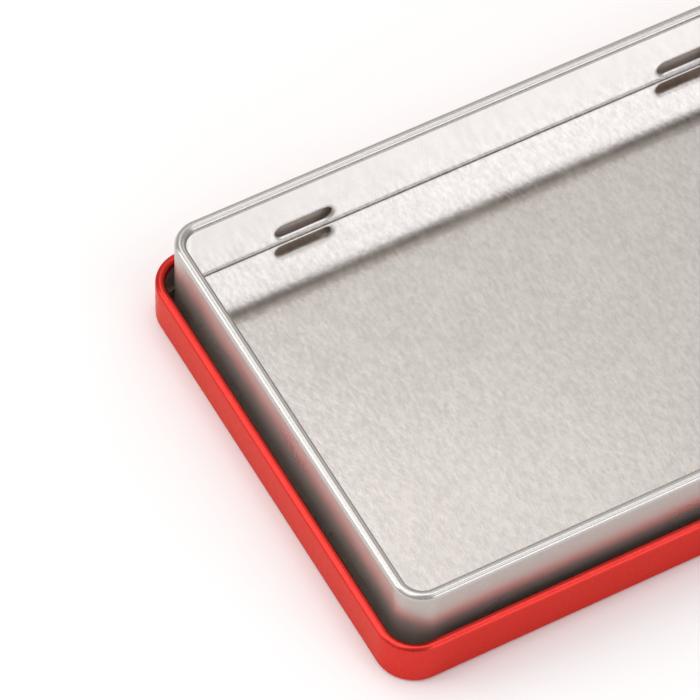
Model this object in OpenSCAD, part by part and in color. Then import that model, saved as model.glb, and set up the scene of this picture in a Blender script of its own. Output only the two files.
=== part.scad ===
// Card game tin: an open tinplate tray standing in its own upturned, lacquered lid.
// The tray is the box, with two hinge slots low in its back wall. The lid's two hinge
// tongues stand up along its back edge. Millimetres, +Z up, and +Y is the hinge side.
// The origin is on the table, under the middle of the lid.

/* [Sheet] */
// Thickness of the tinplate
sheet = 0.3; // [0.2:0.05:0.4]

/* [Tray] */
// Length of the tray over its walls
tray_length = 139.2; // [120:0.1:200]
// Depth of the tray over its walls, front to back
tray_depth = 92; // [80:1:120]
// Height of the tray from its foot to the top of its rim
tray_height = 20.7; // [19:0.1:25]
// Outer radius of the tray's upright corners
tray_corner = 5.8; // [4.5:0.1:9]
// Diameter of the tray's rolled rim
rim_roll = 2.15; // [1.6:0.05:2.6]
// Height of the floor's upper side above the tray's foot
floor_rise = 2.1; // [1.8:0.1:3]
// Radius of the bend where the floor turns down beside the wall
floor_bend = 0.45; // [0.4:0.05:0.6]
// Height of the hem that grips the floor's flange, inside the foot
hem_height = 1.4; // [0.9:0.1:1.5]

/* [Hinge] */
// Length of a hinge slot in the tray's back wall
slot_length = 11.8; // [8:0.1:16]
// Height of a hinge slot, which is also the width of its round ends
slot_height = 3.4; // [2.4:0.1:4.2]
// Height of a slot's lower edge above the floor
slot_rise = 1.3; // [0.8:0.1:2.5]
// Distance from the tray's end to the middle of the slot near it
slot_inset = 29; // [20:1:36]
// Play of a tongue in its slot, on each side
tongue_play = 1.1; // [0.5:0.1:2]
// Diameter of the rolled end of a tongue
tongue_roll = 1.5; // [1.2:0.1:1.6]
// Width of the cut in the lid's rolled edge on each side of a tongue
tongue_relief = 1.2; // [0.8:0.1:2]

/* [Lid] */
// Height of the lid from its top plate to its rolled edge
lid_height = 10.2; // [8:0.1:13]
// Outer radius of the lid's upright corners
lid_corner = 7.4; // [6.5:0.1:10]
// Outer radius of the bend between the lid's top plate and its side
lid_bend = 0.9; // [0.6:0.1:1.6]
// Diameter of the lid's rolled edge
lid_roll = 1.9; // [1.5:0.05:2.2]
// Gap between the lid's rolled edge and the tray's front or back, with the lid in the middle
side_play = 0.65; // [0.5:0.05:1.5]
// Gap between the lid's rolled edge and each end of the tray, with the lid in the middle
end_play = 0.9; // [0.5:0.05:1.5]

/* [Rest] */
// Gap left at the back between the lid's rolled edge and the tray standing in it
back_gap = 0.13; // [0.05:0.01:0.5]
// Gap left at the right between the lid's rolled edge and the tray standing in it
right_gap = 0.12; // [0.05:0.01:0.5]

/* [Colours] */
// Bare tinplate of the tray's walls, rim and hem
tin_colour = "#cfc9c3"; // color
// Brighter tinplate of the tray's floor
floor_colour = "#dbd5cf"; // color
// Red metallic lacquer of the lid
lacquer_colour = "#d2342a"; // color

/* [Hidden] */
$fn = 96;

// The lid goes round the tray with its rolled edge and its play on each side
lid_length = tray_length + 2 * (lid_roll + end_play);
lid_depth = tray_depth + 2 * (lid_roll + side_play);
lid_edge_z = lid_height - lid_roll / 2;

// The tray stands on the lid's plate, pushed towards the lid's back and right
tray_x = end_play - right_gap;
tray_y = side_play - back_gap;
rim_z = tray_height - rim_roll / 2;

// Both slots have the same height and lie alike about the middle
slot_z = floor_rise + slot_rise + slot_height / 2;
slot_x = tray_length / 2 - slot_inset;

// A tongue's rolled end comes level with its slot once the lid is turned over and closed
tongue_width = slot_length - 2 * tongue_play;
tongue_end_z = tray_height + sheet - slot_z;
tongue_y = lid_depth / 2;
relief_width = tongue_width + 2 * tongue_relief;

// The opening of a roll faces down and out, from the wall round to this angle
roll_gap = 70;

// A flat rectangle with round corners, made of true arcs
module round_rectangle(length, depth, corner) {
    square([length - 2 * corner, depth], center = true);
    square([length, depth - 2 * corner], center = true);
    for (x = [-1, 1], y = [-1, 1])
        translate([x * (length / 2 - corner), y * (depth / 2 - corner)])
            circle(corner);
}

// Carries a section round a rounded rectangle. In the section, x is 0 on the outer
// face and grows outward, and y is the height.
module carried_round(length, depth, corner) {
    for (turn = [0:3]) {
        run = turn % 2 == 0 ? depth : length;
        reach = turn % 2 == 0 ? length : depth;
        rotate(90 * turn) {
            translate([reach / 2 - corner, run / 2 - corner, 0])
                rotate_extrude(angle = 90)
                    translate([corner, 0])
                        children();
            translate([reach / 2, run / 2 - corner, 0])
                rotate([90, 0, 0])
                    linear_extrude(run - 2 * corner)
                        children();
        }
    }
}

// The section of a roll: a tube of sheet, open towards the wall that it grows out of
module roll_section(diameter) {
    reach = diameter;
    translate([-diameter / 2, 0])
        difference() {
            circle(d = diameter);
            circle(d = diameter - 2 * sheet);
            polygon([[0, 0], [reach, 0], [reach, -reach], [reach * cos(roll_gap), -reach * sin(roll_gap)]]);
        }
}

// Lid, drawn from one sheet: the top plate lies on the table and the side stands up
module lid_shell() {
    color(lacquer_colour) {
        linear_extrude(sheet)
            round_rectangle(lid_length - 2 * lid_bend, lid_depth - 2 * lid_bend, lid_corner - lid_bend);
        carried_round(lid_length, lid_depth, lid_corner) {
            translate([-sheet, lid_bend])
                square([sheet, lid_edge_z - lid_bend]);
            intersection() {
                translate([-lid_bend, lid_bend])
                    difference() {
                        circle(lid_bend);
                        circle(lid_bend - sheet);
                    }
                translate([-lid_bend, 0])
                    square(lid_bend);
            }
        }
    }
}

// The lid's edge, rolled inward. It is cut away where the hinge tongues rise.
module lid_rolled_edge() {
    color(lacquer_colour)
        difference() {
            translate([0, 0, lid_edge_z])
                carried_round(lid_length, lid_depth, lid_corner)
                    roll_section(lid_roll);
            for (side = [-1, 1])
                translate([side * slot_x + tray_x - relief_width / 2, tongue_y - 2 * lid_roll, 0])
                    cube([relief_width, 3 * lid_roll, lid_height + lid_roll]);
        }
}

// A hinge tongue: a strip of the lid's side that goes on past the edge and ends in a
// small roll, as it is before it is closed round the edge of its slot
module hinge_tongue() {
    color(lacquer_colour)
        translate([-tongue_width / 2, tongue_y, 0])
            rotate([90, 0, 90])
                linear_extrude(tongue_width) {
                    translate([-sheet, lid_edge_z])
                        square([sheet, tongue_end_z - lid_edge_z]);
                    translate([0, tongue_end_z])
                        roll_section(tongue_roll);
                }
}

module hinge_tongue_left() {
    translate([tray_x - slot_x, 0, 0])
        hinge_tongue();
}

module hinge_tongue_right() {
    translate([tray_x + slot_x, 0, 0])
        hinge_tongue();
}

// Puts a piece of the tray where the tray stands in the lid
module tray_place() {
    translate([tray_x, tray_y, sheet])
        children();
}

// A slot with round ends, through the back wall
module hinge_slot() {
    straight = slot_length - slot_height;
    depth = 3 * sheet;
    translate([0, tray_depth / 2 + sheet, slot_z])
        rotate([90, 0, 0]) {
            translate([-straight / 2, -slot_height / 2, 0])
                cube([straight, slot_height, depth]);
            for (side = [-1, 1])
                translate([side * straight / 2, 0, 0])
                    cylinder(h = depth, d = slot_height);
        }
}

// The upright wall, one band all round, from the hem to the rim
module tray_wall() {
    color(tin_colour)
        tray_place()
            difference() {
                translate([0, 0, sheet])
                    linear_extrude(rim_z - sheet)
                        difference() {
                            round_rectangle(tray_length, tray_depth, tray_corner);
                            round_rectangle(tray_length - 2 * sheet, tray_depth - 2 * sheet, tray_corner - sheet);
                        }
                for (side = [-1, 1])
                    translate([side * slot_x, 0, 0])
                        hinge_slot();
            }
}

// The wall's upper edge, rolled inward
module tray_rolled_rim() {
    color(tin_colour)
        tray_place()
            translate([0, 0, rim_z])
                carried_round(tray_length, tray_depth, tray_corner)
                    roll_section(rim_roll);
}

// The floor: a flat panel whose edge bends down inside the wall as a flange
module tray_floor() {
    inset = sheet + floor_bend;
    color(floor_colour)
        tray_place() {
            translate([0, 0, floor_rise - sheet])
                linear_extrude(sheet)
                    round_rectangle(tray_length - 2 * inset, tray_depth - 2 * inset, tray_corner - inset);
            carried_round(tray_length, tray_depth, tray_corner) {
                translate([-2 * sheet, sheet])
                    square([sheet, floor_rise - floor_bend - sheet]);
                intersection() {
                    translate([-inset, floor_rise - floor_bend])
                        difference() {
                            circle(floor_bend);
                            circle(floor_bend - sheet);
                        }
                    translate([-inset, floor_rise - floor_bend])
                        square(floor_bend);
                }
            }
        }
}

// The foot: the wall's lower edge folded in and up, round the floor's flange
module tray_bottom_hem() {
    color(tin_colour)
        tray_place()
            carried_round(tray_length, tray_depth, tray_corner) {
                translate([-3 * sheet, 0])
                    square([3 * sheet, sheet]);
                translate([-3 * sheet, 0])
                    square([sheet, hem_height]);
            }
}

lid_shell();
lid_rolled_edge();
hinge_tongue_left();
hinge_tongue_right();
tray_wall();
tray_rolled_rim();
tray_floor();
tray_bottom_hem();
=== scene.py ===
from math import cos, hypot, pi, radians, sin

import bmesh
import bpy
import numpy as np
from mathutils import Matrix, Vector


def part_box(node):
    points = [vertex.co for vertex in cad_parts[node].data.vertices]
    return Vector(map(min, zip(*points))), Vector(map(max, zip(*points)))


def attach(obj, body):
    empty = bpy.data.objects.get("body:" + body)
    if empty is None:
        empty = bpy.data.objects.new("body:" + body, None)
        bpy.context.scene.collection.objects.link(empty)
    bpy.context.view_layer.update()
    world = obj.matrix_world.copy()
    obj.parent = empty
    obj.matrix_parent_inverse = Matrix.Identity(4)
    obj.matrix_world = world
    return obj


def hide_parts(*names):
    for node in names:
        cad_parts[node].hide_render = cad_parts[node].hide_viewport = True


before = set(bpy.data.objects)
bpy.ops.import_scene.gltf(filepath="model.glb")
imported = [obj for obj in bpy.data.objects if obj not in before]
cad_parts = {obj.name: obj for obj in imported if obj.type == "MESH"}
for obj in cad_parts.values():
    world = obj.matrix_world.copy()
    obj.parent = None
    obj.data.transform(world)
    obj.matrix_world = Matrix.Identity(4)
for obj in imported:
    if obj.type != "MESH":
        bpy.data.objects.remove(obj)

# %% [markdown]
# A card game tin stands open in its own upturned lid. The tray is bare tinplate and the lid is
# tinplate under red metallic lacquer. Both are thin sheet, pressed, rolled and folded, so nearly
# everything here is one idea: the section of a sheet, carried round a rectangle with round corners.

MM = 0.001
TINY = 1e-6
print("lengths below are in millimetres; Blender's own unit is the metre, so 1 mm is", MM)


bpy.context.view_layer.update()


# %% Colours
def hex_to_linear(code):
    """The linear colour of an sRGB hex value such as "#d2342a"."""
    parts = [int(code[i:i + 2], 16) / 255 for i in (1, 3, 5)]
    return [p / 12.92 if p <= 0.04045 else ((p + 0.055) / 1.055) ** 2.4 for p in parts]


print("half gray, #808080, in linear light:", round(hex_to_linear("#808080")[0], 3))

# %% [markdown]
# Whatever the frame can tell, such as how long the tray is and where it stands, is read from the
# frame, so that every piece lands on its solid. What it can't tell is given as a size, each where
# it is first needed: here the corners and the rolled edges.

# %% Sizes of corners and rolls
TRAY_CORNER, LID_CORNER = 5.8, 7.4
RIM_ROLL, LID_ROLL = 2.15, 1.9
print("corner radii", TRAY_CORNER, LID_CORNER, "mm; roll diameters", RIM_ROLL, LID_ROLL, "mm")


# %% Places read from the frame
def box_mm(node):
    low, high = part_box(node)
    return np.array(low) / MM, np.array(high) / MM


def outline_of(node, corner):
    """The rounded rectangle that a node fills, seen from above."""
    low, high = box_mm(node)
    return {"length": high[0] - low[0], "depth": high[1] - low[1], "corner": corner,
            "middle": ((low[0] + high[0]) / 2, (low[1] + high[1]) / 2)}


TRAY = outline_of("tray_wall", TRAY_CORNER)
LID = outline_of("lid_shell", LID_CORNER)
FOOT_Z = box_mm("tray_bottom_hem")[0][2]
RIM_Z = box_mm("tray_rolled_rim")[1][2] - RIM_ROLL / 2
LID_EDGE_Z = box_mm("lid_rolled_edge")[1][2] - LID_ROLL / 2
print("tray", TRAY)
print("lid", LID)
print("foot", FOOT_Z, "middle of the rim", RIM_Z, "middle of the lid's edge", LID_EDGE_Z)

# %% [markdown]
# The photograph looks down on the tin's left end with a long lens. The angles, the distance and the
# lens were fitted to the tin's own straight edges. The point looked at is a place on the table,
# measured from the tray's back left corner. The camera is turned by a matrix, because its slight
# roll is easier to see there than in three angles.

# %% Camera
CAMERA_AZIMUTH = radians(-29.95)
CAMERA_HEIGHT = radians(54.64)
CAMERA_ROLL = radians(1.65)
CAMERA_DISTANCE = 1181.2
CAMERA_LENS = 333.3
SENSOR_WIDTH = 36
NEAREST_SEEN = 0.05
LOOK_FROM_CORNER = (24.68, -26.02)


def make_camera():
    level = cos(CAMERA_HEIGHT)
    back = Vector((sin(CAMERA_AZIMUTH) * level, -cos(CAMERA_AZIMUTH) * level, sin(CAMERA_HEIGHT)))
    right = Vector((cos(CAMERA_AZIMUTH), sin(CAMERA_AZIMUTH), 0))
    up = back.cross(right)
    turned_right = right * cos(CAMERA_ROLL) + up * sin(CAMERA_ROLL)
    turned_up = up * cos(CAMERA_ROLL) - right * sin(CAMERA_ROLL)
    turn = Matrix((turned_right, turned_up, back)).transposed().to_4x4()
    wall_low, wall_high = box_mm("tray_wall")
    target = Vector((wall_low[0] + LOOK_FROM_CORNER[0], wall_high[1] + LOOK_FROM_CORNER[1], 0))
    data = bpy.data.cameras.new("camera")
    data.lens = CAMERA_LENS
    data.sensor_width = SENSOR_WIDTH
    data.sensor_fit = "HORIZONTAL"
    data.clip_start = NEAREST_SEEN
    camera = bpy.data.objects.new("camera", data)
    camera.matrix_world = Matrix.Translation((target + back * CAMERA_DISTANCE) * MM) @ turn
    bpy.context.scene.collection.objects.link(camera)
    bpy.context.scene.camera = camera
    return camera


camera = make_camera()
print("camera at", [round(v, 3) for v in camera.matrix_world.translation], "m")

# %% [markdown]
# A material here is a Principled shader and a few nodes. One small function adds any node, sets its
# values and joins its sockets, which keeps each recipe readable as a list.

# %% Node helper
def add_node(owner, kind, settings=None, inputs=None):
    """Adds a node. settings are its properties; inputs are socket values, or (node, socket)."""
    tree = owner.node_tree
    node = tree.nodes.new(kind)
    for key, value in (settings or {}).items():
        setattr(node, key, value)
    for key, value in (inputs or {}).items():
        if isinstance(value, tuple) and isinstance(value[0], bpy.types.Node):
            tree.links.new(value[0].outputs[value[1]], node.inputs[key])
        else:
            node.inputs[key].default_value = value
    return node


def new_material(name):
    material = bpy.data.materials.new(name)
    material.use_nodes = True
    material.node_tree.nodes.clear()
    return material


def close_material(material, shader):
    add_node(material, "ShaderNodeOutputMaterial", inputs={"Surface": (shader, 0)})
    print("material", material.name, "has", len(material.node_tree.nodes), "nodes")
    return material


print("materials before the first recipe:", len(bpy.data.materials))

# %% [markdown]
# The tin stands on a matt white laminate, pressed against a faintly textured plate. It scatters
# the light evenly. The picture is exposed so that the table goes white, and only the tin's soft
# shadow and the red light from its lid show on it. The texture is real size and barely seen.

# %% Table
bpy.context.scene.view_settings.view_transform = "Standard"
TABLE_HALF = 4.0
TABLE_GRAINS_PER_MM = 0.6
TABLE_GRAIN_DEPTH = 0.05


def make_table_material():
    material = new_material("matt_white_laminate")
    where = add_node(material, "ShaderNodeNewGeometry")
    grain = add_node(material, "ShaderNodeTexNoise", inputs={
        "Vector": (where, "Position"), "Scale": TABLE_GRAINS_PER_MM / MM, "Detail": 3.0})
    bump = add_node(material, "ShaderNodeBump", inputs={
        "Height": (grain, 0), "Strength": 0.05, "Distance": TABLE_GRAIN_DEPTH * MM})
    shader = add_node(material, "ShaderNodeBsdfPrincipled", inputs={
        "Base Color": [*hex_to_linear("#fafafa"), 1], "Roughness": 0.6, "Normal": (bump, 0)})
    return close_material(material, shader)


def make_table():
    data = bpy.data.meshes.new("table")
    half = TABLE_HALF
    corners = [(-half, -half, 0), (half, -half, 0), (half, half, 0), (-half, half, 0)]
    data.from_pydata(corners, [], [(0, 1, 2, 3)])
    table = bpy.data.objects.new("table", data)
    bpy.context.scene.collection.objects.link(table)
    table.data.materials.append(make_table_material())
    return table


table = make_table()
print("table", [round(side, 1) for side in table.dimensions[:2]], "m")

# %% [markdown]
# Bare metal shows nothing but its surroundings, so the light is planned by where each face looks.
# The floor mirrors the sky over the tin's back, near azimuth 30 and height 55, and is gray because
# only weak light is there. The back wall looks down at the floor and from there up to the front,
# near azimuth 150, where a broad lamp turns it white. The crests of the rolled edges look low to
# the left and to the front. All between the lamps is one even room, which gives the dark lines.

# %% Room
ROOM_BRIGHTNESS = 0.5


def make_room():
    room = bpy.data.worlds.new("studio")
    bpy.context.scene.world = room
    room.use_nodes = True
    room.node_tree.nodes.clear()
    background = add_node(room, "ShaderNodeBackground", inputs={
        "Color": [*hex_to_linear("#fffdfb"), 1], "Strength": ROOM_BRIGHTNESS})
    add_node(room, "ShaderNodeOutputWorld", inputs={"Surface": (background, 0)})


make_room()
print("room brightness", ROOM_BRIGHTNESS)

# %% [markdown]
# Every lamp is a soft rectangle two metres away. Its direction is an azimuth, turned from the back
# of the tin towards its right, and a height above the table, both in degrees. Then come its width
# and height in metres, how bright it looks itself, where 1 is white, and its colour. Brightness
# rather than power is given, because a mirror shows the brightness, whatever the lamp's size.

# %% Lamps
LAMP_DISTANCE = 2.0
WHITE, COOL = "#ffffff", "#f6f8ff"
LAMPS = {
    "overhead": (0, 80, (0.58, 0.58), 1.6, WHITE),
    "overhead_right": (90, 78, (0.67, 0.67), 1.9, WHITE),
    "overhead_left": (-90, 78, (0.67, 0.67), 1.5, WHITE),
    "back": (0, 60, (0.83, 0.67), 1.15, WHITE),
    "back_left": (-50, 60, (0.83, 0.67), 2.1, WHITE),
    "left": (-100, 60, (0.83, 0.67), 1.6, WHITE),
    "key": (-62, 35, (0.83, 0.67), 2.7, WHITE),
    "left_side": (-100, 40, (0.83, 0.67), 0.8, WHITE),
    "key_low": (-60, 16, (1.0, 0.6), 1.5, WHITE),
    "back_wide": (8, 43, (1.4, 1.2), 0.3, WHITE),
    "near_fill": (22, 64, (0.6, 0.53), 0.45, WHITE),
    "right": (62, 26, (1.2, 0.8), 0.5, WHITE),
    "front_right": (135, 50, (0.83, 0.67), 0.4, COOL),
    "front": (150, 54.6, (0.95, 0.95), 1.12, COOL),
    "front_low": (160, 17, (1.1, 0.9), 1.9, COOL),
}


def make_lamp(name, azimuth, height, size, brightness, colour):
    azimuth, height = radians(azimuth), radians(height)
    way = Vector((sin(azimuth) * cos(height), cos(azimuth) * cos(height), sin(height)))
    data = bpy.data.lights.new(name, "AREA")
    data.shape = "RECTANGLE"
    data.size, data.size_y = size
    data.energy = brightness * pi * size[0] * size[1]
    data.color = hex_to_linear(colour)
    lamp = bpy.data.objects.new(name, data)
    lamp.location = way * LAMP_DISTANCE
    lamp.rotation_euler = way.to_track_quat("Z", "Y").to_euler()
    bpy.context.scene.collection.objects.link(lamp)


for name, lamp in LAMPS.items():
    make_lamp(name, *lamp)
print(len(LAMPS), "lamps")

# %% [markdown]
# Tinplate is thin steel with a skin of tin on both sides, a little warmer and darker than silver.
# The sheet is rolled, so it has a grain of short strokes along the rolling direction, which here
# runs from the front of the tray to the back. The real strokes are finer: these are drawn 0.8 mm
# wide and 1.8 mm long, as coarse as they need to be to show. So are the scratches, at 0.06 mm.

# %% Patterns in real sizes
STROKE_WIDTH, STROKE_LENGTH = 0.8, 1.8
SCRATCH_WIDTH, SCRATCH_LENGTH = 0.06, 14.0
CLOUD_SIZES = (9, 14, 9)
SWELL_SIZES = (16, 16, 16)


def stretched(material, sizes, turn=0.0):
    """A place in units of the pattern: sizes are its length along x, y and z in millimetres."""
    where = add_node(material, "ShaderNodeTexCoord")
    return add_node(material, "ShaderNodeMapping", {"vector_type": "TEXTURE"}, {
        "Vector": (where, "Object"), "Rotation": (0, 0, turn),
        "Scale": tuple(size * MM for size in sizes)})


print("grain strokes", STROKE_WIDTH, "by", STROKE_LENGTH, "mm")
print("scratches", SCRATCH_WIDTH, "by", SCRATCH_LENGTH, "mm")

# %% [markdown]
# One recipe serves every finish of the tin. Noise stretched to the strokes' size tints them and
# tilts them a little. Large clouds vary the shine, as handling does. Only the rarest peaks of a
# very long noise become scratches, which are dull. A finish may also swell, which is the slight
# unevenness of thin sheet, and have haze: the share of the light that it scatters like paper.

# %% Tinplate
NOISE_LOW, NOISE_HIGH = 0.3, 0.7
SCRATCH_FROM, SCRATCH_TO = 0.74, 0.8
SCRATCH_TURN = radians(11)
SCRATCH_DULLING = 0.1
CLOUD_TINT, CLOUD_DULLING = 0.015, 0.1
STROKE_DEPTH = 0.02


def make_tinplate(name, colour, roughness, strokes, tint, lean, swell=0.0, haze=0.0):
    """strokes are the grain's sizes and swell a depth, in mm; tint, lean and haze are shares."""
    material = new_material(name)
    grain = add_node(material, "ShaderNodeTexNoise", {"noise_dimensions": "3D"}, {
        "Vector": (stretched(material, strokes), 0), "Scale": 1.0, "Detail": 2.0,
        "Roughness": 0.65})
    scratch_sizes = (SCRATCH_WIDTH, SCRATCH_LENGTH, SCRATCH_LENGTH)
    scratches = add_node(material, "ShaderNodeTexNoise", inputs={
        "Vector": (stretched(material, scratch_sizes, SCRATCH_TURN), 0), "Scale": 1.0,
        "Detail": 0.0})
    scratch = add_node(material, "ShaderNodeMapRange", inputs={
        "Value": (scratches, 0), "From Min": SCRATCH_FROM, "From Max": SCRATCH_TO,
        "To Min": 0.0, "To Max": 1.0})
    clouds = add_node(material, "ShaderNodeTexNoise", inputs={
        "Vector": (stretched(material, CLOUD_SIZES), 0), "Scale": 1.0, "Detail": 3.0})
    tone = add_node(material, "ShaderNodeMapRange", inputs={
        "Value": (grain, 0), "From Min": NOISE_LOW, "From Max": NOISE_HIGH,
        "To Min": 1 - tint, "To Max": 1 + tint})
    cloud_tone = add_node(material, "ShaderNodeMapRange", inputs={
        "Value": (clouds, 0), "From Min": NOISE_LOW, "From Max": NOISE_HIGH,
        "To Min": 1 - CLOUD_TINT, "To Max": 1 + CLOUD_TINT})
    both = add_node(material, "ShaderNodeMath", {"operation": "MULTIPLY"}, {
        0: (tone, 0), 1: (cloud_tone, 0)})
    tinted = add_node(material, "ShaderNodeVectorMath", {"operation": "SCALE"}, {
        0: hex_to_linear(colour), "Scale": (both, 0)})
    rough = add_node(material, "ShaderNodeMapRange", inputs={
        "Value": (clouds, 0), "From Min": NOISE_LOW, "From Max": NOISE_HIGH,
        "To Min": roughness * (1 - CLOUD_DULLING), "To Max": roughness * (1 + CLOUD_DULLING)})
    scratched = add_node(material, "ShaderNodeMath", {"operation": "MULTIPLY_ADD"}, {
        0: (scratch, 0), 1: SCRATCH_DULLING, 2: (rough, 0)})
    last = add_node(material, "ShaderNodeBump", inputs={
        "Height": (grain, 0), "Strength": lean, "Distance": STROKE_DEPTH * MM})
    if swell:
        waves = add_node(material, "ShaderNodeTexNoise", inputs={
            "Vector": (stretched(material, SWELL_SIZES), 0), "Scale": 1.0, "Detail": 0.0})
        last = add_node(material, "ShaderNodeBump", inputs={
            "Height": (waves, 0), "Strength": 1.0, "Distance": swell * MM, "Normal": (last, 0)})
    shader = add_node(material, "ShaderNodeBsdfPrincipled", inputs={
        "Base Color": (tinted, 0), "Metallic": 1.0 - haze, "Roughness": (scratched, 0),
        "Normal": (last, 0)})
    return close_material(material, shader)


# %% [markdown]
# The floor panel is only cut from the sheet, so it keeps the shine and the grain that the rolls
# gave it. To the eye it is a soft mirror, broken up by lighter and darker strokes.

# %% Finish of the floor
floor_tinplate = make_tinplate(
    "grained_tinplate", "#dcd6d1", roughness=0.13, strokes=(STROKE_WIDTH, STROKE_LENGTH, 1.0),
    tint=0.1, lean=0.5, swell=0.02)

# %% [markdown]
# The wall's inner face was pressed on the smooth forming tool, which closed its grain. To the eye
# it is a clean satin that goes white where it finds a lamp. The hem has the same finish.

# %% Finish of the wall's inner face
FAINT_STROKES = (1.5, 1.5, 0.5)
tinplate = make_tinplate(
    "satin_tinplate", "#e0e0df", roughness=0.2, strokes=FAINT_STROKES,
    tint=0.02, lean=0.1, swell=0.02)

# %% [markdown]
# The rim was rolled by a curling tool, which polishes it and stretches its tin. It has fine bright
# lines along its crest, and a little haze between them. The wall's outer face was drawn over the
# tool and turned duller, so it mirrors the red edge of the lid as no more than a rose band. Its tin
# is also coloured darker than the inner face's. That darker colour is painted shade for the dim
# outside of the wall.

# %% Finishes of the rim and of the wall's outer face
rim_tinplate = make_tinplate(
    "rolled_tinplate", "#c2beba", roughness=0.22, strokes=FAINT_STROKES,
    tint=0.02, lean=0.05, haze=0.15)
# The outer face's tin is darker than the inner face's: painted shade, besides its real duller
# finish.
dull_shade_darkened_band_tinplate = make_tinplate(
    "drawn_shade_darkened_tinplate", "#c0bab4", roughness=0.29, strokes=FAINT_STROKES,
    tint=0.02, lean=0.05, haze=0.25)

# %% [markdown]
# Inside the lid, the plate is coloured a darker tin than the sheet has. This is painted shade,
# which keeps it dark where it has only the tray's underside to mirror. The side was drawn and
# rubbed by the punch, which left it pale and nearly matt: most of its light is haze.

# %% Finishes of the lid's inside
INNER_STROKES = (0.5, 1.5, 1.0)
# The plate's inside is a darker tin than the rest of the sheet: painted shade for the gap under the
# tray.
shade_darkened_plate_tinplate = make_tinplate(
    "shade_darkened_inner_tinplate", "#aaa59f", roughness=0.25, strokes=INNER_STROKES,
    tint=0.04, lean=0.2)
inner_tinplate = make_tinplate(
    "dull_inner_tinplate", "#f7e9df", roughness=0.5, strokes=INNER_STROKES,
    tint=0.04, lean=0.2, haze=0.75)

# %% [markdown]
# The lid wears a red metallic lacquer: a transparent red, rolled on the sheet and baked before the
# lid was pressed. The bright tin shines through it, so that even its highlights stay red, and the
# clear surface adds a thin gloss of its own. The tin's grain mottles it finely, drawn at 0.25 mm to
# show, and the roller leaves soft waves of about 1.6 mm. A red metal under a faint coat does this.
# Glossy red paint would not: its highlights are white.

# %% Lacquer
MOTTLE_SIZE, WAVE_SIZE = 0.25, 1.6
LACQUER_DEPTH = 0.01


def make_lacquer():
    material = new_material("red_metallic_lacquer")
    mottle = add_node(material, "ShaderNodeTexNoise", inputs={
        "Vector": (stretched(material, (MOTTLE_SIZE,) * 3), 0), "Scale": 1.0, "Detail": 1.0})
    waves = add_node(material, "ShaderNodeTexNoise", inputs={
        "Vector": (stretched(material, (WAVE_SIZE,) * 3), 0), "Scale": 1.0, "Detail": 1.0})
    share = add_node(material, "ShaderNodeMapRange", inputs={
        "Value": (mottle, 0), "From Min": NOISE_LOW, "From Max": NOISE_HIGH,
        "To Min": 0.0, "To Max": 1.0})
    colour = add_node(material, "ShaderNodeMix", {"data_type": "RGBA"}, {
        "Factor": (share, 0), 6: [*hex_to_linear("#d0312c"), 1],
        7: [*hex_to_linear("#dc3c35"), 1]})
    rough = add_node(material, "ShaderNodeMapRange", inputs={
        "Value": (waves, 0), "From Min": NOISE_LOW, "From Max": NOISE_HIGH,
        "To Min": 0.27, "To Max": 0.33})
    lean = add_node(material, "ShaderNodeBump", inputs={
        "Height": (mottle, 0), "Strength": 0.1, "Distance": LACQUER_DEPTH * MM})
    swell = add_node(material, "ShaderNodeBump", inputs={
        "Height": (waves, 0), "Strength": 0.5, "Distance": LACQUER_DEPTH * MM,
        "Normal": (lean, 0)})
    shader = add_node(material, "ShaderNodeBsdfPrincipled", inputs={
        "Base Color": (colour, 2), "Metallic": 1.0, "Roughness": (rough, 0), "Normal": (swell, 0),
        "Specular Tint": [*hex_to_linear("#ffc4bb"), 1], "Coat Weight": 0.14,
        "Coat Roughness": 0.15})
    return close_material(material, shader)


lacquer = make_lacquer()

# %% [markdown]
# A section is a list of points across the sheet, as (distance outward from the outer face,
# height). A short step of sheet beside every bend, the ease, keeps the bend's shading out of the
# flat part. Each face of a piece has a side, which is the number of its material.

# %% Sections
SHEET = 0.3
EASE = 0.12
ROLL_GAP = radians(70)
ROLL_STEPS = 36
OUTSIDE, INSIDE, SHADED_PLATE_SIDE = 0, 1, 2


def arc(centre, radius, start, end, steps):
    return [(centre[0] + radius * cos(start + (end - start) * i / steps),
             centre[1] + radius * sin(start + (end - start) * i / steps))
            for i in range(steps + 1)]


def roll_section(diameter, height, tails):
    """A sheet that rises along the outer face past the tails and rolls inward at the top."""
    outer, inner = diameter / 2, diameter / 2 - SHEET
    middle = (-outer, height)
    end = 2 * pi - ROLL_GAP
    out = [(0, tail) for tail in tails] + arc(middle, outer, 0, end, ROLL_STEPS)
    back = arc(middle, inner, end, 0, ROLL_STEPS) + [(-SHEET, tail) for tail in reversed(tails)]
    return out + back, len(out)


def without_repeats(points):
    kept = []
    for point in points:
        if not kept or hypot(point[0] - kept[-1][0], point[1] - kept[-1][1]) > TINY:
            kept.append(point)
    return kept


print("a rolled edge has", len(roll_section(RIM_ROLL, RIM_Z, [])[0]), "points in its section")

# %% [markdown]
# The bends of a tin all run along a rounded rectangle. Stops are set along it, closer together in
# the corners, and every stop gets a copy of the section. A stop is a pivot and the way outward from
# it. Where a cut takes the sheet away, as at a hinge slot, there is no stop.

# %% Stops round the tin
CORNER_STEPS = 18
SIDE_STEP = 6.0


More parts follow.
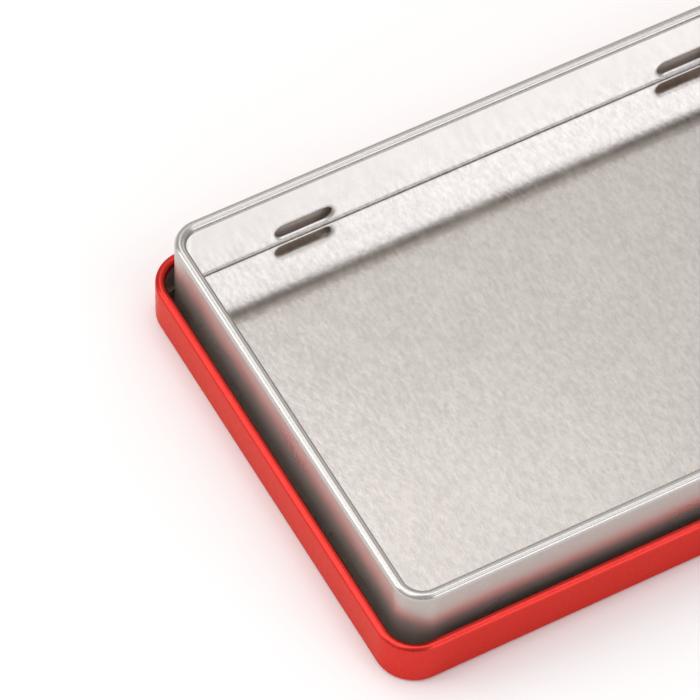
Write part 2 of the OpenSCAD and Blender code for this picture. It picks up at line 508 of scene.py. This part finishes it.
def stations(shape, cuts=()):
    """Stops round a rounded rectangle. cuts are (low x, high x) in its back side, given as None."""
    length, depth, corner = shape["length"], shape["depth"], shape["corner"]
    middle = Vector(shape["middle"])
    stops = []
    for turn in range(4):
        reach, run = (length, depth) if turn % 2 == 0 else (depth, length)
        angle = turn * pi / 2
        way, side = Vector((cos(angle), sin(angle))), Vector((-sin(angle), cos(angle)))
        straight = run - 2 * corner
        count = max(1, round(straight / SIDE_STEP))
        places = [straight * (i / count - 0.5) for i in range(count)]
        if straight > 4 * EASE:
            places += [EASE - straight / 2, straight / 2 - EASE]
        gaps = [(middle.x - high, middle.x - low) for low, high in cuts] if turn == 1 else []
        for low, high in gaps:
            places = [p for p in places if not low <= p <= high] + [low, (low + high) / 2, high]
        for place in sorted(places):
            cut = any(low < place < high for low, high in gaps)
            pivot = middle + way * (reach / 2 - corner) + side * place
            stops.append(None if cut else (pivot, way))
        pivot = middle + way * (reach / 2 - corner) + side * (straight / 2)
        for i in range(CORNER_STEPS):
            turned = angle + (pi / 2) * i / CORNER_STEPS
            stops.append((pivot, Vector((cos(turned), sin(turned)))))
    return stops


print(len(stations(TRAY)), "stops round the tray")


# %% Runs of stops, parted at the cuts
def runs(stops):
    """Parts the round of stops at its cuts. Gives (stops, whether the run closes on itself)."""
    if None not in stops:
        return [(stops, True)]
    first = stops.index(None)
    parts, part = [], []
    for stop in stops[first + 1:] + stops[:first + 1]:
        if stop is None:
            parts.append((part, False))
            part = []
        else:
            part.append(stop)
    return parts


print("without a cut there is", len(runs(stations(TRAY))), "run round the tray")

# %% [markdown]
# A piece gathers its points, faces and sides before it becomes a mesh. Points that meet are welded,
# and edges of more than 32 degrees stay sharp, which keeps the cut edges of the sheet crisp. The
# same could be had from a curve with a bevel, but not with a thickness and two finishes.

# %% One piece of sheet
WELD = 0.002
SMOOTH_BELOW = radians(32)


def same_place(x, y, z):
    return x, y, z


class SheetWork:
    """Points and faces of one piece of sheet, gathered before they become a mesh."""

    def __init__(self):
        self.points, self.faces, self.sides = [], [], []

    def add(self, points, faces, sides):
        first = len(self.points)
        self.points += [tuple(p) for p in points]
        self.faces += [[first + i for i in face] for face in faces]
        self.sides += sides

    def carry(self, section, corner, stops, closes, closed_section=True, turned=0,
              place=same_place):
        """Carries the section along the stops. From the point numbered turned it is inside."""
        rows = len(section)
        points = [place(*(pivot + way * (corner + out)), height)
                  for pivot, way in stops for out, height in section]
        faces, sides = [], []
        for s in range(len(stops) if closes else len(stops) - 1):
            here, after = s * rows, (s + 1) % len(stops) * rows
            for r in range(rows if closed_section else rows - 1):
                up = (r + 1) % rows
                faces.append((here + r, after + r, after + up, here + up))
                sides.append(INSIDE if turned and r >= turned - 1 else OUTSIDE)
        if closed_section and not closes:
            last = (len(stops) - 1) * rows
            faces += [tuple(range(rows)), tuple(range(last, last + rows))]
            sides += [INSIDE, INSIDE]
        self.add(points, faces, sides)

    def piece(self, name, materials, body, slot, nodes):
        data = bpy.data.meshes.new(name)
        data.from_pydata([Vector(p) * MM for p in self.points], [], self.faces)
        data.polygons.foreach_set("material_index", self.sides)
        mesh = bmesh.new()
        mesh.from_mesh(data)
        bmesh.ops.remove_doubles(mesh, verts=mesh.verts, dist=WELD * MM)
        bmesh.ops.recalc_face_normals(mesh, faces=mesh.faces)
        mesh.to_mesh(data)
        mesh.free()
        data.polygons.foreach_set("use_smooth", [True] * len(data.polygons))
        data.set_sharp_from_angle(angle=SMOOTH_BELOW)
        for material in materials:
            data.materials.append(material)
        piece = bpy.data.objects.new(name, data)
        bpy.context.scene.collection.objects.link(piece)
        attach(piece, body)
        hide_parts(*nodes)
        print(name, "has", len(data.vertices), "points")
        return piece


# %% [markdown]
# The rim of the tray is the upper edge of its wall, rolled inward into a tube, so that no cut edge
# is left to touch. It could be a curve with a round bevel, but a carried section also has the open
# gap under the roll.

# %% Tray rim
section, turned = roll_section(RIM_ROLL, RIM_Z, [])
rim = SheetWork()
rim.carry(section, TRAY_CORNER, stations(TRAY), True, turned=turned)
rim.piece("rolled_rim", [rim_tinplate, rim_tinplate], "tray", "tinplate", ["tray_rolled_rim"])

# %% [markdown]
# A hinge slot is punched outward through the back wall, and the punch draws the sheet a little with
# it. The soft lip that this leaves catches the light beside the slot. A boolean cut would leave the
# sheet flat. So the slot is one more section, carried round its outline: down the outer face,
# round the blunt cut edge and up the inner face.

# %% Hinge slots
SLOT_LENGTH, SLOT_HEIGHT = 11.8, 3.4
SLOT_RISE, SLOT_INSET = 1.3, 29.0
FLOOR_RISE = 2.1
SLOT_REACH = 1.3
LIP, LIP_FADE, LIP_STEPS = 0.2, 2.2, 9
BLUNT = 0.05
slot_z = FOOT_Z + FLOOR_RISE + SLOT_RISE + SLOT_HEIGHT / 2
slot_x = TRAY["length"] / 2 - SLOT_INSET
slot_middles = [TRAY["middle"][0] - slot_x, TRAY["middle"][0] + slot_x]
window_half = SLOT_LENGTH / 2 + SLOT_REACH + EASE


def lip(distance):
    """How far the punch has drawn the sheet outward, at a distance from the slot's edge."""
    return LIP * max(0, 1 - distance / SLOT_REACH) ** LIP_FADE


print("slots at x", [round(x, 2) for x in slot_middles], "mm, z", round(slot_z, 2), "mm")


# %% Sheet round a slot
def upright(x, z, y):
    """A section carried in the wall's own plane has its second axis up and its height outward."""
    return x, y, z


def add_slot(work, middle_x, outer_y, inner_y):
    """The drawn sheet beside the slot. Gives the stops that it was carried along."""
    shape = {"length": SLOT_LENGTH, "depth": SLOT_HEIGHT, "corner": SLOT_HEIGHT / 2,
             "middle": (middle_x, slot_z)}
    reaches = [SLOT_REACH * i / LIP_STEPS for i in range(LIP_STEPS, 0, -1)]
    section = ([(reach, outer_y + lip(reach)) for reach in reaches]
               + [(BLUNT, outer_y + LIP), (0, outer_y + LIP - BLUNT),
                  (0, inner_y + LIP + BLUNT), (BLUNT, inner_y + LIP)]
               + [(reach, inner_y + lip(reach)) for reach in reversed(reaches)])
    stops = stations(shape)
    work.carry(section, shape["corner"], stops, True, closed_section=False,
               turned=len(reaches) + 3, place=upright)
    return stops


def add_window(work, middle_x, low_z, high_z, outer_y, inner_y):
    """Fills the wall between two stops with a slot and the sheet round it."""
    stops = add_slot(work, middle_x, outer_y, inner_y)
    ring = [pivot + way * (SLOT_HEIGHT / 2 + SLOT_REACH) for pivot, way in stops]
    corners = [(middle_x + sign * window_half, z)
               for sign, z in ((-1, low_z), (1, low_z), (1, high_z), (-1, high_z))]
    quarter = [(2 if p.x > middle_x else 3) if p.y > slot_z else (1 if p.x > middle_x else 0)
               for p in ring]
    for y, side in ((outer_y, OUTSIDE), (inner_y, INSIDE)):
        points = [(p.x, y, p.y) for p in ring] + [(x, y, z) for x, z in corners]
        faces = []
        for i in range(len(ring)):
            j = (i + 1) % len(ring)
            faces.append((i, j, len(ring) + quarter[i]))
            if quarter[i] != quarter[j]:
                faces.append((j, len(ring) + quarter[j], len(ring) + quarter[i]))
        work.add(points, faces, [side] * len(faces))


print("each window is", round(2 * window_half, 2), "mm wide")

# %% [markdown]
# The wall is one band of sheet. Beside each slot the band is parted, and the window goes between.
# The strips above and below a window close the band's edges there.

# %% Tray wall
BAND_LOW, BAND_HIGH = FOOT_Z + SHEET, RIM_Z - EASE
section = [(0, BAND_LOW), (0, BAND_HIGH), (0, RIM_Z),
           (-SHEET, RIM_Z), (-SHEET, BAND_HIGH), (-SHEET, BAND_LOW)]
band = SheetWork()
cuts = [(x - window_half, x + window_half) for x in slot_middles]
for stops, closes in runs(stations(TRAY, cuts)):
    band.carry(section, TRAY_CORNER, stops, False, turned=3)
back_y = TRAY["middle"][1] + TRAY["depth"] / 2
for middle_x in slot_middles:
    add_window(band, middle_x, BAND_LOW, BAND_HIGH, back_y, back_y - SHEET)
    low_x, high_x = middle_x - window_half, middle_x + window_half
    for (out_a, z_a), (out_b, z_b) in zip(section, section[1:] + section[:1]):
        if abs(z_a - z_b) < BAND_HIGH - BAND_LOW - TINY:
            strip = [(low_x, back_y + out_a, z_a), (high_x, back_y + out_a, z_a),
                     (high_x, back_y + out_b, z_b), (low_x, back_y + out_b, z_b)]
            band.add(strip, [(0, 1, 2, 3)], [OUTSIDE])
band.piece("tray_band", [dull_shade_darkened_band_tinplate, tinplate], "tray", "tinplate", ["tray_wall"])

# %% [markdown]
# The floor is a separate panel of the same sheet, set in from below with its edge bent down inside
# the wall. The bend shows as one dark line along the foot of the wall. A flat face with a bevel
# would give that line too, but the carried section also has the flange under the floor.

# %% Tray floor
FLOOR_BEND = 0.62
BEND_STEPS, TIGHT_STEPS = 10, 6
inset = SHEET + FLOOR_BEND
top_z, under_z = FOOT_Z + FLOOR_RISE, FOOT_Z + FLOOR_RISE - SHEET
bend = (-inset, top_z - FLOOR_BEND)


def add_plate(work, stops, corner, out, height, side):
    """A flat plate inside the ring that one point of a section makes."""
    ring = [pivot + way * (corner + out) for pivot, way in stops]
    work.add([(p.x, p.y, height) for p in ring], [range(len(ring))], [side])


section = without_repeats(
    [(-inset - EASE, top_z)] + arc(bend, FLOOR_BEND, pi / 2, 0, BEND_STEPS)
    + [(-SHEET, FOOT_Z + SHEET), (-2 * SHEET, FOOT_Z + SHEET)]
    + arc(bend, FLOOR_BEND - SHEET, 0, pi / 2, TIGHT_STEPS) + [(-inset - EASE, under_z)])
floor = SheetWork()
floor.carry(section, TRAY_CORNER, stations(TRAY), True, closed_section=False)
add_plate(floor, stations(TRAY), TRAY_CORNER, *section[0], OUTSIDE)
add_plate(floor, stations(TRAY), TRAY_CORNER, *section[-1], OUTSIDE)
floor.piece("floor_panel", [floor_tinplate], "tray", "floor_tinplate", ["tray_floor"])

# %% [markdown]
# The foot of the wall is folded under and up inside the floor's flange. It grips the panel, and the
# tray stands on its smooth fold. The photograph hides it, but it is seen once the tray is lifted.
# It is a carried section too, since it follows the wall all round.

# %% Tray hem
HEM_HEIGHT = 1.4
section = [(0, FOOT_Z), (0, FOOT_Z + SHEET), (-2 * SHEET, FOOT_Z + SHEET),
           (-2 * SHEET, FOOT_Z + HEM_HEIGHT), (-3 * SHEET, FOOT_Z + HEM_HEIGHT),
           (-3 * SHEET, FOOT_Z)]
hem = SheetWork()
hem.carry(section, TRAY_CORNER, stations(TRAY), True)
hem.piece("bottom_hem", [tinplate], "tray", "tinplate", ["tray_bottom_hem"])

# %% [markdown]
# The lid is one drawn pressing, turned over here, so its plate lies on the table and its side
# stands up round the tray. The section runs from the plate up the outer face, over the edge and
# down the inner face, and each stretch of it gets its own finish. A box with an inset and bevels
# would need as many steps and would leave the sheet's thickness to chance.

# %% Lid
LID_BEND = 0.9
LID_BEND_STEPS = 12
lid_bend = (-LID_BEND, LID_BEND)
outer_side = without_repeats(
    [(-LID_BEND - EASE, 0)] + arc(lid_bend, LID_BEND, -pi / 2, 0, LID_BEND_STEPS)
    + [(0, LID_BEND + EASE), (0, LID_EDGE_Z - EASE), (0, LID_EDGE_Z)])
inner_side = without_repeats(
    [(-SHEET, LID_EDGE_Z), (-SHEET, LID_EDGE_Z - EASE), (-SHEET, LID_BEND + EASE)]
    + arc(lid_bend, LID_BEND - SHEET, 0, -pi / 2, LID_BEND_STEPS) + [(-LID_BEND - EASE, SHEET)])
lid = SheetWork()
lid.carry(outer_side + inner_side, LID_CORNER, stations(LID), True, closed_section=False,
          turned=len(outer_side))
add_plate(lid, stations(LID), LID_CORNER, *outer_side[0], OUTSIDE)
# The plate's inner face takes the darker tin, which is painted shade.
add_plate(lid, stations(LID), LID_CORNER, *inner_side[-1], SHADED_PLATE_SIDE)
lid.piece("lid_pressing", [lacquer, inner_tinplate, shade_darkened_plate_tinplate], "lid", "red_lacquer",
          ["lid_shell"])

# %% [markdown]
# The lid's edge is rolled inward like the tray's rim. Beside each hinge tongue the roll is cut
# back, so that the tongue can stand up from the edge. The row of stops is parted there, as at the
# slots, and the ends of the roll are closed.

# %% Lid roll
TONGUE_RELIEF = 1.2
tongue_low, tongue_high = box_mm("hinge_tongue_left")
tongue_width = tongue_high[0] - tongue_low[0]
relief_half = tongue_width / 2 + TONGUE_RELIEF
section, turned = roll_section(LID_ROLL, LID_EDGE_Z, [])
cuts = [(x - relief_half, x + relief_half) for x in slot_middles]
roll = SheetWork()
for stops, closes in runs(stations(LID, cuts)):
    roll.carry(section, LID_CORNER, stops, closes, turned=turned)
roll.piece("lid_roll", [lacquer, inner_tinplate], "lid", "red_lacquer", ["lid_rolled_edge"])

# %% [markdown]
# A hinge tongue is a strip of the lid's own sheet, left standing when the edge was rolled, with its
# end rolled small. On a closed tin it hooks through a slot of the tray. It could be a bent plate
# with a bevel. Here its foot widens in a small fillet, because thin sheet tears at a sharp inner
# corner. Rows of the same section stand side by side across the tongue, close together at its
# edges, so that the shading of the edges stays there.

# %% Hinge tongues
TONGUE_ROLL = 1.5
FILLET, FILLET_STEPS = 0.6, 6
ROWS_ACROSS = (-1, -0.96, -0.5, 0, 0.5, 0.96, 1)
tongue_end_z = tongue_high[2] - TONGUE_ROLL / 2


def half_width(z):
    """Half the tongue's width at a height. The foot widens along a quarter circle."""
    rise = min(1, max(0, (z - LID_EDGE_Z) / FILLET))
    return tongue_width / 2 + FILLET * (1 - (1 - (1 - rise) ** 2) ** 0.5)


def add_tongue(work, middle_x, face_y):
    """A strip of the lid's side that goes on past the edge."""
    tails = [LID_EDGE_Z + FILLET * i / FILLET_STEPS for i in range(FILLET_STEPS + 1)]
    section, turned = roll_section(TONGUE_ROLL, tongue_end_z, tails + [tongue_end_z - EASE])
    points = [(middle_x + share * half_width(z), face_y + out, z)
              for share in ROWS_ACROSS for out, z in section]
    rows, last = len(section), len(ROWS_ACROSS) - 1
    faces, sides = [], []
    for s in range(last):
        for r in range(rows):
            up = (r + 1) % rows
            faces.append((s * rows + r, (s + 1) * rows + r, (s + 1) * rows + up, s * rows + up))
            sides.append(INSIDE if r >= turned - 1 else OUTSIDE)
    faces += [tuple(range(rows)), tuple(range(rows * last, rows * (last + 1)))]
    work.add(points, faces, sides + [INSIDE, INSIDE])


for side, middle_x in zip(("left", "right"), slot_middles):
    tongue = SheetWork()
    add_tongue(tongue, middle_x, LID["middle"][1] + LID["depth"] / 2)
    tongue.piece("tongue_" + side, [lacquer, inner_tinplate], "lid", "red_lacquer",
                 ["hinge_tongue_" + side])
